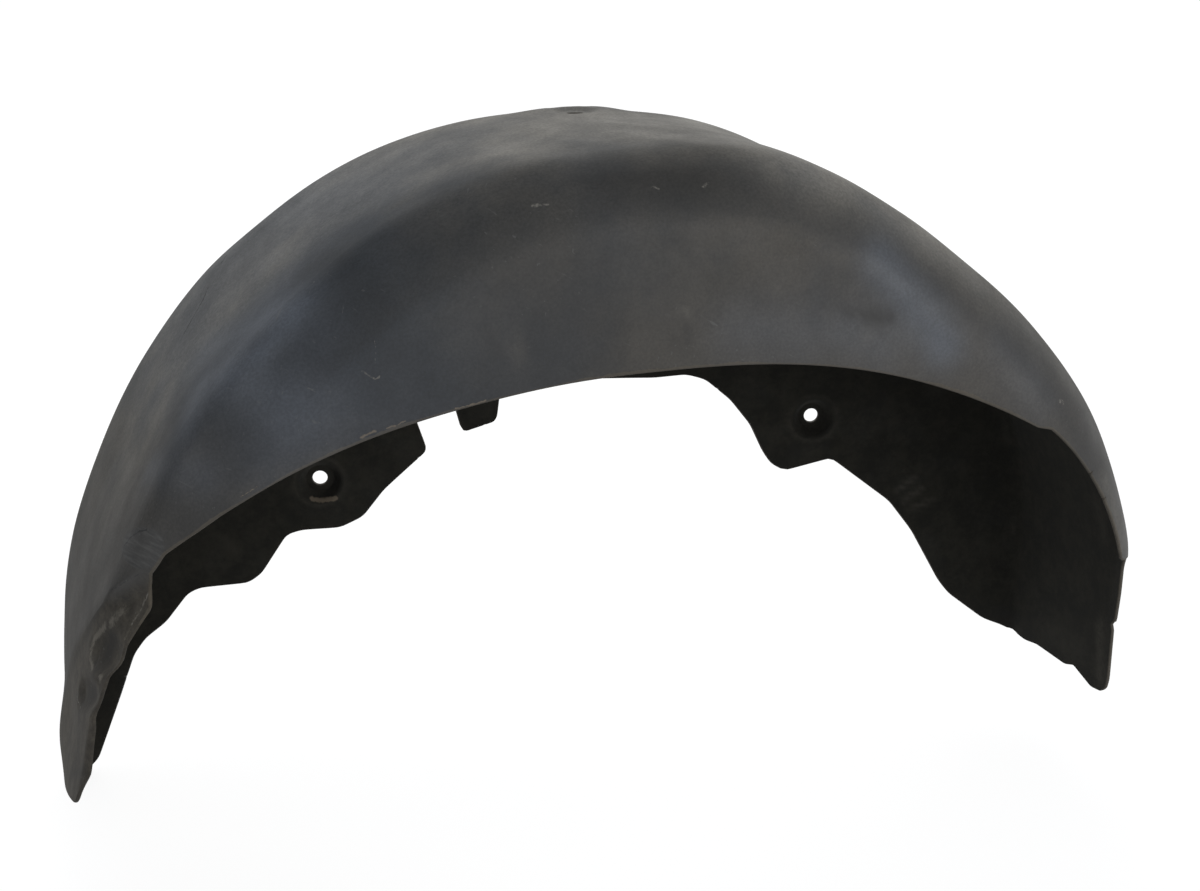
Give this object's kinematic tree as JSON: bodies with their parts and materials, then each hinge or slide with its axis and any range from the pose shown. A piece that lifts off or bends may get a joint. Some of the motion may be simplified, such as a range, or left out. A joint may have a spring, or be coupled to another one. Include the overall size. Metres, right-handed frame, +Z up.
{
  "type": "wheel arch liner",
  "caption": "Black moulded plastic wheel arch liner for one rear side of a car, a half-round shell with a trimmed outboard wall and a wavy inboard wall fixed through dished holes.",
  "frame": {"origin": "centre of the floor of the shallow dish round the hole in the crown, on the body side", "axes": "+X along the car from the long leg to the short leg, +Y inboard from the outboard wall to the inboard wall, +Z up"},
  "size_m": [0.8263, 0.3036, 0.5336],
  "materials": {
    "plastic": "matt with a soft sheen, dusty and scuffed"
  },
  "bodies": {
    "root": {"arch_liner": "plastic"}
  },
  "joints": []
}
